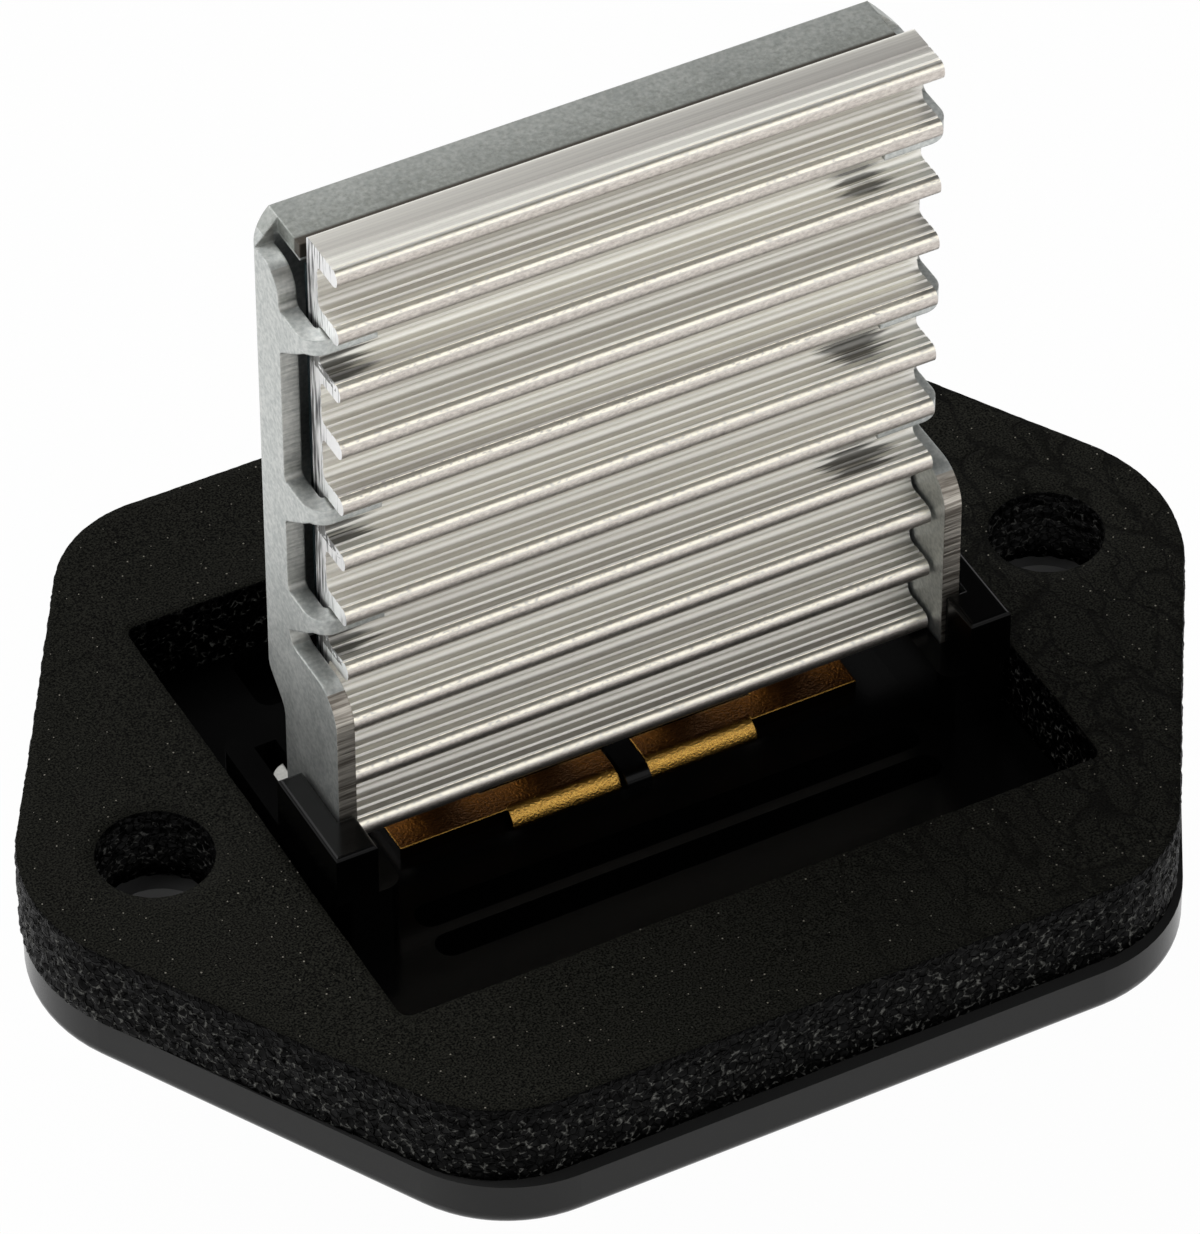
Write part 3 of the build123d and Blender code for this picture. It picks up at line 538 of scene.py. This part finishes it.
# Heat sink: a bright aluminium extrusion, cut to length. The die draws fine lines along it,
# the saw leaves strokes up and down its ends, and the fins' tips carry a painted highlight.
tip_start = -3.2 * MM
web_end, fin_end = -0.6 * MM, -2.2 * MM
tab_fin_tops, tab_fin_reach = (35.87 * MM, 24.72 * MM, 17.30 * MM), 0.5 * MM
saw_stroke_width, saw_stroke_length = 0.1923 * MM, 2.381 * MM
aluminium, tree = new_material("extruded_aluminium")
place_on = add_node(tree, "ShaderNodeTexCoord")
here = place_on.outputs["Object"]
facing = add_node(tree, "ShaderNodeSeparateXYZ", {0: place_on.outputs["Normal"]})
apart = add_node(tree, "ShaderNodeSeparateXYZ", {0: here})

# Marks along the fins, each with its length and width in millimetres: drawn lines of three
# widths, the grain of the tips' painted highlight, the tips' pits and the streaks of the crimp
# tabs' painted reflection. The fine ones are drawn coarser than the real ones so that they show.
marks_along = {}
for name, length, width, detail, roughness in (
        ("fine", 55.56, 0.1923, 3.0, 0.5), ("wide", 71.43, 0.9091, 2.0, 0.5),
        ("broad", 100.0, 2.381, 2.0, 0.5), ("sparkle", 0.2778, 0.1111, 2.0, 0.5),
        ("pits", 0.3333, 0.14286, 4.0, 0.7), ("streaks", 22.22, 0.26316, 2.0, 0.5)):
    stretched = add_node(tree, "ShaderNodeMapping", {
        "Vector": here,
        "Scale": (1 / (length * MM), 1 / (width * MM), 1 / (width * MM))})
    pattern = add_node(tree, "ShaderNodeTexNoise", {
        "Vector": stretched.outputs[0], "Scale": 1.0, "Detail": detail, "Roughness": roughness})
    marks_along[name] = pattern.outputs["Fac"]
both = add_node(tree, "ShaderNodeMix", {"Factor": 0.55, "A": marks_along["fine"],
                                        "B": marks_along["wide"]})
drawn = add_node(tree, "ShaderNodeMix", {"Factor": 0.45, "A": both.outputs[0],
                                         "B": marks_along["broad"]})
tint = add_node(tree, "ShaderNodeValToRGB", {"Fac": drawn.outputs[0]})
for element, position, colour in zip(tint.color_ramp.elements, (0.36, 0.60),
                                     ("C3BFBA", "FFFDF5")):
    element.position, element.color = position, linear(colour)

# The sawn ends: strokes up and down, darkened on the web by painted shade and bright at the fins.
sideways = add_node(tree, "ShaderNodeMath", {0: facing.outputs["X"]}, operation="ABSOLUTE")
on_end = add_node(tree, "ShaderNodeMath", {0: sideways.outputs[0], 1: 0.8}, operation="GREATER_THAN")
saw = add_node(tree, "ShaderNodeMapping", {
    "Vector": here, "Rotation": (0.16, 0, 0),
    "Scale": (1.0, 1 / saw_stroke_width, 1 / saw_stroke_length)})
strokes = add_node(tree, "ShaderNodeTexNoise", {"Vector": saw.outputs[0], "Scale": 1.0, "Detail": 3.0})
# Painted shade: the sawn end darkens from the fins towards the web.
web_painted_shade = add_node(tree, "ShaderNodeMapRange", {"Value": apart.outputs["Y"],
                                                     "From Min": web_end,
                                                     "From Max": fin_end,
                                                     "To Min": -0.06, "To Max": 0.14})
strokes_and_web_shade = add_node(tree, "ShaderNodeMath", {0: strokes.outputs["Fac"],
                                         1: web_painted_shade.outputs[0]}, operation="ADD")
end_strokes_and_shade = add_node(tree, "ShaderNodeMapRange", {"Value": strokes_and_web_shade.outputs[0],
                                                  "From Min": 0.37, "From Max": 0.58})
end_colour = add_node(tree, "ShaderNodeMix", {"Factor": end_strokes_and_shade.outputs[0],
                                              "A": linear("58585B"), "B": linear("FFFFFF")},
                      data_type="RGBA")
with_end = add_node(tree, "ShaderNodeMix", {"Factor": on_end.outputs[0],
                                            "A": tint.outputs["Color"],
                                            "B": end_colour.outputs["Result"]},
                    data_type="RGBA")

# Each tip's rounded upper edge gets a painted highlight, and its front is darker and pinkish, with
# pits.
at_tip = add_node(tree, "ShaderNodeMath", {0: apart.outputs["Y"], 1: tip_start}, operation="LESS_THAN")
upward = add_node(tree, "ShaderNodeMapRange", {"Value": facing.outputs["Z"],
                                               "From Min": 0.50, "From Max": 0.62})
not_level = add_node(tree, "ShaderNodeMapRange", {"Value": facing.outputs["Z"],
                                                  "From Min": 0.95, "From Max": 0.86})
tip_edge_band = add_node(tree, "ShaderNodeMath", {0: upward.outputs[0], 1: not_level.outputs[0]},
                 operation="MULTIPLY")
tip_edge_band = add_node(tree, "ShaderNodeMath", {0: tip_edge_band.outputs[0], 1: at_tip.outputs[0]},
                 operation="MULTIPLY")
highlight_grain = add_node(tree, "ShaderNodeMapRange", {"Value": marks_along["sparkle"],
                                              "From Min": 0.30, "From Max": 0.50})
tip_highlight_band = add_node(tree, "ShaderNodeMath", {0: tip_edge_band.outputs[0], 1: highlight_grain.outputs[0]},
                     operation="MULTIPLY")
# Painted highlight: a pale cream colour along the tips' upper rounded edges.
with_tip_highlight = add_node(tree, "ShaderNodeMix", {"Factor": tip_highlight_band.outputs[0],
                                             "A": with_end.outputs["Result"],
                                             "B": linear("FBF5E4")}, data_type="RGBA")
frontal = add_node(tree, "ShaderNodeMapRange", {"Value": facing.outputs["Y"],
                                                "From Min": -0.80, "From Max": -0.95})
tip_front_mask = add_node(tree, "ShaderNodeMath", {0: frontal.outputs[0], 1: at_tip.outputs[0]},
                   operation="MULTIPLY")
pit_tint = add_node(tree, "ShaderNodeMapRange", {"Value": marks_along["pits"],
                                                 "From Min": 0.34, "From Max": 0.62})
tip_colour = add_node(tree, "ShaderNodeMix", {"Factor": pit_tint.outputs[0],
                                              "A": linear("BFB7B0"), "B": linear("E3DCD4")},
                      data_type="RGBA")
with_tip = add_node(tree, "ShaderNodeMix", {"Factor": tip_front_mask.outputs[0],
                                            "A": with_tip_highlight.outputs["Result"],
                                            "B": tip_colour.outputs["Result"]},
                    data_type="RGBA")

# Painted reflection and shadow of the crimp tabs: dark streaks on the three fins below the tabs.
# They lie at the left end and near the right one, and fade towards the tip.
near_tops = []
for height in tab_fin_tops:
    near_tops.append(add_node(tree, "ShaderNodeMath", {0: apart.outputs["Z"], 1: height,
                                                       2: tab_fin_reach}, operation="COMPARE"))
below_tab_rows = near_tops[0]
for near_top in near_tops[1:]:
    below_tab_rows = add_node(tree, "ShaderNodeMath", {0: below_tab_rows.outputs[0], 1: near_top.outputs[0]},
                      operation="MAXIMUM")
slopes = []
for axis, begin, finish, strength, strength_after in (
        ("X", -16.0, -12.0, 0.14, -0.35), ("X", 9.5, 12.5, -0.35, 0.14),
        ("X", 13.5, 16.0, 0.14, -0.20), ("Y", -3.4, -2.5, -0.30, 0.0)):
    slopes.append(add_node(tree, "ShaderNodeMapRange", {
        "Value": apart.outputs[axis], "From Min": begin * MM, "From Max": finish * MM,
        "To Min": strength, "To Max": strength_after}))
left_reflection, right_start, right_end, from_web = slopes
right_reflection = add_node(tree, "ShaderNodeMath", {0: right_start.outputs[0],
                                               1: right_end.outputs[0]},
                      operation="MINIMUM")
reach = add_node(tree, "ShaderNodeMath", {0: left_reflection.outputs[0],
                                          1: right_reflection.outputs[0]}, operation="MAXIMUM")
tab_reflection_streaks = add_node(tree, "ShaderNodeMath", {0: marks_along["streaks"], 1: reach.outputs[0]},
                   operation="ADD")
tab_reflection_streaks = add_node(tree, "ShaderNodeMath", {0: tab_reflection_streaks.outputs[0], 1: from_web.outputs[0]},
                   operation="ADD")
tab_reflection_streaks = add_node(tree, "ShaderNodeMapRange", {"Value": tab_reflection_streaks.outputs[0],
                                                "From Min": 0.48, "From Max": 0.60,
                                                "To Max": 0.8})
painted_tab_reflection = add_node(tree, "ShaderNodeMath", {0: tab_reflection_streaks.outputs[0], 1: below_tab_rows.outputs[0]},
                operation="MULTIPLY")
# Painted reflection and shadow of the tabs, in a dark grey.
with_tab_reflection = add_node(tree, "ShaderNodeMix", {"Factor": painted_tab_reflection.outputs[0],
                                              "A": with_tip.outputs["Result"],
                                              "B": linear("504F4C")}, data_type="RGBA")

marks = add_node(tree, "ShaderNodeMix", {"Factor": on_end.outputs[0], "A": both.outputs[0],
                                         "B": strokes.outputs["Fac"]})
relief_of = add_node(tree, "ShaderNodeBump", {"Height": marks.outputs[0], "Strength": 0.25,
                                              "Distance": 0.06 * MM})
smoother = add_node(tree, "ShaderNodeMapRange", {"Value": tip_highlight_band.outputs[0],
                                                 "To Min": 0.46, "To Max": 0.30})
body = add_node(tree, "ShaderNodeBsdfPrincipled", {
    "Base Color": with_tab_reflection.outputs["Result"], "Metallic": 1.0,
    "Roughness": smoother.outputs[0], "Normal": relief_of.outputs["Normal"]})
add_node(tree, "ShaderNodeOutputMaterial", {"Surface": body.outputs[0]})
use_material(["heat_sink"], aluminium)

# Steel bracket: 1 mm sheet, zinc plated, blanked and folded round the heat sink. The plate is
# a satin bluish grey with a sandy bloom, and its sheared edges show the punch's strokes.
top_flange_z, ear_shoulder_z, foot_z = 41.0 * MM, 16.5 * MM, 8.0 * MM
flange_front, side_inner_x = 0.55 * MM, 16.9 * MM
bloom_size, sand_size, stain_size = 2.381 * MM, 0.2381 * MM, 0.3125 * MM
punch_stroke_width, punch_stroke_length = 0.1613 * MM, 3.333 * MM
zinc, tree = new_material("bright_zinc_plated_steel")
place_on = add_node(tree, "ShaderNodeTexCoord")
here = place_on.outputs["Object"]
cloud = add_node(tree, "ShaderNodeTexNoise", {"Vector": here,
                                              "Scale": 1 / bloom_size, "Detail": 5.0,
                                              "Roughness": 0.65})
sand = add_node(tree, "ShaderNodeTexNoise", {"Vector": here, "Scale": 1 / sand_size, "Detail": 3.0})
bloom = add_node(tree, "ShaderNodeMix", {"Factor": 0.72, "A": cloud.outputs["Fac"],
                                         "B": sand.outputs["Fac"]})
blotch = add_node(tree, "ShaderNodeMapRange", {"Value": bloom.outputs[0],
                                               "From Min": 0.36, "From Max": 0.62})
tint = add_node(tree, "ShaderNodeMix", {"Factor": blotch.outputs[0],
                                        "A": linear("BCC0BE"), "B": linear("DADCD9")},
                data_type="RGBA")
sheen = add_node(tree, "ShaderNodeMapRange", {"Value": cloud.outputs["Fac"],
                                              "To Min": 0.42, "To Max": 0.58})
facing = add_node(tree, "ShaderNodeSeparateXYZ", {0: place_on.outputs["Normal"]})
apart = add_node(tree, "ShaderNodeSeparateXYZ", {0: here})

# The top flange is finely stained, with painted shade darkening it towards the front and a
# painted shadow line along its front edge, in the gap to the heat sink.
level = add_node(tree, "ShaderNodeMath", {0: apart.outputs["Z"], 1: top_flange_z},
                 operation="GREATER_THAN")
stains = add_node(tree, "ShaderNodeTexNoise", {"Vector": here,
                                               "Scale": 1 / stain_size, "Detail": 5.0,
                                               "Roughness": 0.7})
# Painted shade, growing towards the flange's front edge by the heat sink.
front_painted_shade = add_node(tree, "ShaderNodeMapRange", {"Value": apart.outputs["Y"],
                                                   "From Min": flange_front + 0.45 * MM,
                                                   "From Max": flange_front + 3.2 * MM,
                                                   "To Min": -0.14, "To Max": 0.12})
mottle = add_node(tree, "ShaderNodeMath", {0: stains.outputs["Fac"],
                                           1: front_painted_shade.outputs[0]}, operation="ADD")
stain_and_front_shade = add_node(tree, "ShaderNodeMapRange", {"Value": mottle.outputs[0],
                                              "From Min": 0.34, "From Max": 0.60,
                                              "To Min": 0.70, "To Max": 0.35})
dull = add_node(tree, "ShaderNodeMath", {0: stain_and_front_shade.outputs[0], 1: level.outputs[0]},
                operation="MULTIPLY")
stained_and_shaded = add_node(tree, "ShaderNodeMix", {"Factor": dull.outputs[0],
                                           "A": tint.outputs["Result"],
                                           "B": linear("8A8D85")}, data_type="RGBA")

# A painted shadow line in the gap between the flange's front edge and the heat sink.
gap_painted_shadow = add_node(tree, "ShaderNodeMapRange", {"Value": apart.outputs["Y"],
                                                  "From Min": flange_front + 0.48 * MM,
                                                  "From Max": flange_front + 0.66 * MM,
                                                  "To Min": 0.9, "To Max": 0.0})
gap_painted_shadow = add_node(tree, "ShaderNodeMath", {0: gap_painted_shadow.outputs[0],
                                              1: level.outputs[0]}, operation="MULTIPLY")
with_gap_shadow = add_node(tree, "ShaderNodeMix", {"Factor": gap_painted_shadow.outputs[0],
                                          "A": stained_and_shaded.outputs["Result"],
                                          "B": linear("4C443C")}, data_type="RGBA")

# The punch left bare brownish steel on the ears' edges, striated across the sheet, and smeared
# some zinc over it on the sides' front edges. The feet's tops get the same brownish colour as painted
# shade.
forward = add_node(tree, "ShaderNodeMath", {0: facing.outputs["Y"], 1: -0.5}, operation="LESS_THAN")
from_middle = add_node(tree, "ShaderNodeMath", {0: apart.outputs["X"]}, operation="ABSOLUTE")
on_side = add_node(tree, "ShaderNodeMath", {0: from_middle.outputs[0], 1: side_inner_x},
                   operation="GREATER_THAN")
behind_tabs = add_node(tree, "ShaderNodeMath", {0: apart.outputs["Y"], 1: 0.0},
                       operation="GREATER_THAN")
on_ear = add_node(tree, "ShaderNodeMath", {0: apart.outputs["Z"], 1: ear_shoulder_z},
                  operation="LESS_THAN")
clear_of_tabs = add_node(tree, "ShaderNodeMath", {0: behind_tabs.outputs[0],
                                                  1: on_ear.outputs[0]},
                         operation="MAXIMUM")
brownish_places = add_node(tree, "ShaderNodeMath", {0: forward.outputs[0], 1: on_side.outputs[0]},
                    operation="MULTIPLY")
brownish_places = add_node(tree, "ShaderNodeMath", {0: brownish_places.outputs[0],
                                             1: clear_of_tabs.outputs[0]},
                    operation="MULTIPLY")
# Painted shade: the feet's upward faces take the brownish steel colour too.
low = add_node(tree, "ShaderNodeMath", {0: apart.outputs["Z"], 1: foot_z}, operation="LESS_THAN")
upright = add_node(tree, "ShaderNodeMath", {0: facing.outputs["Z"], 1: 0.7}, operation="GREATER_THAN")
foot_top_painted_shade = add_node(tree, "ShaderNodeMath", {0: low.outputs[0], 1: upright.outputs[0]},
                    operation="MULTIPLY")
brownish_places = add_node(tree, "ShaderNodeMath", {0: brownish_places.outputs[0],
                                             1: foot_top_painted_shade.outputs[0]}, operation="MAXIMUM")
shear = add_node(tree, "ShaderNodeMapping", {
    "Vector": here,
    "Scale": (1 / punch_stroke_length, 1 / punch_stroke_length, 1 / punch_stroke_width)})
strokes = add_node(tree, "ShaderNodeTexNoise", {"Vector": shear.outputs[0], "Scale": 1.0,
                                                "Detail": 3.0})
striation = add_node(tree, "ShaderNodeMapRange", {"Value": strokes.outputs["Fac"],
                                                  "From Min": 0.36, "From Max": 0.62})
brownish_colour = add_node(tree, "ShaderNodeMix", {"Factor": striation.outputs[0],
                                              "A": linear("807970"), "B": linear("D6D0C6")},
                      data_type="RGBA")
smeared = add_node(tree, "ShaderNodeMapRange", {"Value": behind_tabs.outputs[0],
                                                "To Min": 1.0, "To Max": 0.35})
brownish_amount = add_node(tree, "ShaderNodeMath", {0: brownish_places.outputs[0], 1: smeared.outputs[0]},
                operation="MULTIPLY")
coated = add_node(tree, "ShaderNodeMix", {"Factor": brownish_amount.outputs[0],
                                          "A": with_gap_shadow.outputs["Result"],
                                          "B": brownish_colour.outputs["Result"]},
                  data_type="RGBA")
marks = add_node(tree, "ShaderNodeMath", {0: strokes.outputs["Fac"],
                                          1: brownish_places.outputs[0]}, operation="MULTIPLY")
rounding = add_node(tree, "ShaderNodeBevel", {"Radius": 0.12 * MM}, samples=4)
relief_of = add_node(tree, "ShaderNodeBump", {"Height": marks.outputs[0], "Strength": 0.6,
                                              "Distance": 0.05 * MM,
                                              "Normal": rounding.outputs["Normal"]})
body = add_node(tree, "ShaderNodeBsdfPrincipled", {
    "Base Color": coated.outputs["Result"], "Metallic": 1.0, "Roughness": sheen.outputs[0],
    "Normal": relief_of.outputs["Normal"]})
add_node(tree, "ShaderNodeOutputMaterial", {"Surface": body.outputs[0]})
use_material(["steel_bracket"], zinc)

# Terminals: rolled brass strip, blanked, bent and pressed into the base. Painted dark reflection
# browns the flats and painted shade darkens the upright faces above the flange, while the bends
# are grainy and bright.
over_flange_z, brass_grain = 1.0 * MM, 0.125 * MM
brass, tree = new_material("rolled_brass")
place_on = add_node(tree, "ShaderNodeTexCoord")
here = place_on.outputs["Object"]
grain = add_node(tree, "ShaderNodeTexNoise", {"Vector": here, "Scale": 1 / brass_grain, "Detail": 3.0})
tint = add_node(tree, "ShaderNodeMix", {"Factor": grain.outputs["Fac"],
                                        "A": linear("8E5E22"), "B": linear("F4C668")},
                data_type="RGBA")
rounding = add_node(tree, "ShaderNodeBevel", {"Radius": 0.10 * MM}, samples=4)
facing = add_node(tree, "ShaderNodeSeparateXYZ", {0: rounding.outputs["Normal"]})
level = add_node(tree, "ShaderNodeMapRange", {"Value": facing.outputs["Z"],
                                              "From Min": 0.93, "From Max": 0.995})
# Painted dark reflection: the level flats take a dark brown.
flats_painted_dark = add_node(tree, "ShaderNodeMix", {"Factor": level.outputs[0],
                                           "A": tint.outputs["Result"],
                                           "B": linear("5C3812")}, data_type="RGBA")
apart = add_node(tree, "ShaderNodeSeparateXYZ", {0: here})
over_flange = add_node(tree, "ShaderNodeMath", {0: apart.outputs["Z"], 1: over_flange_z},
                       operation="GREATER_THAN")
# Painted shade: the upright faces above the flange take a near black brown.
upright = add_node(tree, "ShaderNodeMapRange", {"Value": facing.outputs["Z"],
                                                "From Min": 0.30, "From Max": 0.08})
upright_painted_shade = add_node(tree, "ShaderNodeMath", {0: upright.outputs[0],
                                            1: over_flange.outputs[0]},
                   operation="MULTIPLY")
with_upright_painted_shade = add_node(tree, "ShaderNodeMix", {"Factor": upright_painted_shade.outputs[0],
                                             "A": flats_painted_dark.outputs["Result"],
                                             "B": linear("2C1D0D")}, data_type="RGBA")
relief_of = add_node(tree, "ShaderNodeBump", {"Height": grain.outputs["Fac"], "Strength": 0.9,
                                              "Distance": 0.05 * MM,
                                              "Normal": rounding.outputs["Normal"]})
body = add_node(tree, "ShaderNodeBsdfPrincipled", {
    "Base Color": with_upright_painted_shade.outputs["Result"], "Metallic": 1.0, "Roughness": 0.26,
    "Normal": relief_of.outputs["Normal"]})
add_node(tree, "ShaderNodeOutputMaterial", {"Surface": body.outputs[0]})
use_material(["terminal_front_left", "terminal_front_right", "terminal_rear_left",
              "terminal_rear_right"], brass)

# Leads and fuse strip: bronze strip, blanked, bent and tinned, then clipped or soldered to the
# card. The tin has a soft, slightly uneven shine.
tin_cloud = 0.6667 * MM
tin, tree = new_material("tinned_bronze")
place_on = add_node(tree, "ShaderNodeTexCoord")
here = place_on.outputs["Object"]
cloud = add_node(tree, "ShaderNodeTexNoise", {"Vector": here, "Scale": 1 / tin_cloud, "Detail": 3.0})
tint = add_node(tree, "ShaderNodeMix", {"Factor": cloud.outputs["Fac"],
                                        "A": linear("B9B6AE"), "B": linear("E2E0DA")},
                data_type="RGBA")
body = add_node(tree, "ShaderNodeBsdfPrincipled", {
    "Base Color": tint.outputs["Result"], "Metallic": 1.0, "Roughness": 0.38})
add_node(tree, "ShaderNodeOutputMaterial", {"Surface": body.outputs[0]})
use_material(["card_lead_outer_left", "card_lead_outer_right", "card_lead_inner_left",
              "card_lead_inner_right", "thermal_fuse"], tin)

# Resistor card: an alumina plate with printed tracks, fired under a blue-green glass glaze
# that is smooth and a little cloudy.
glaze_cloud = 3.846 * MM
glaze, tree = new_material("glazed_alumina")
place_on = add_node(tree, "ShaderNodeTexCoord")
here = place_on.outputs["Object"]
cloud = add_node(tree, "ShaderNodeTexNoise", {"Vector": here, "Scale": 1 / glaze_cloud, "Detail": 4.0})
tint = add_node(tree, "ShaderNodeMix", {"Factor": cloud.outputs["Fac"],
                                        "A": linear("39474C"), "B": linear("4A5A60")},
                data_type="RGBA")
body = add_node(tree, "ShaderNodeBsdfPrincipled", {
    "Base Color": tint.outputs["Result"], "Roughness": 0.25, "IOR": 1.6})
add_node(tree, "ShaderNodeOutputMaterial", {"Surface": body.outputs[0]})
use_material(["resistor_card"], glaze)

# Insulating pad: a sheet of grey silicone rubber filled with ceramic powder, cut to size and
# clamped between card and bracket. It is quite matt, with a faint powdery mottle.
powder_mottle = 0.3846 * MM
silicone, tree = new_material("filled_silicone_rubber")
place_on = add_node(tree, "ShaderNodeTexCoord")
here = place_on.outputs["Object"]
powder = add_node(tree, "ShaderNodeTexNoise", {"Vector": here,
                                               "Scale": 1 / powder_mottle, "Detail": 3.0})
tint = add_node(tree, "ShaderNodeMix", {"Factor": powder.outputs["Fac"],
                                        "A": linear("8A9096"), "B": linear("A6ABB0")},
                data_type="RGBA")
body = add_node(tree, "ShaderNodeBsdfPrincipled", {
    "Base Color": tint.outputs["Result"], "Roughness": 0.7, "IOR": 1.42})
add_node(tree, "ShaderNodeOutputMaterial", {"Surface": body.outputs[0]})
use_material(["insulating_pad"], silicone)
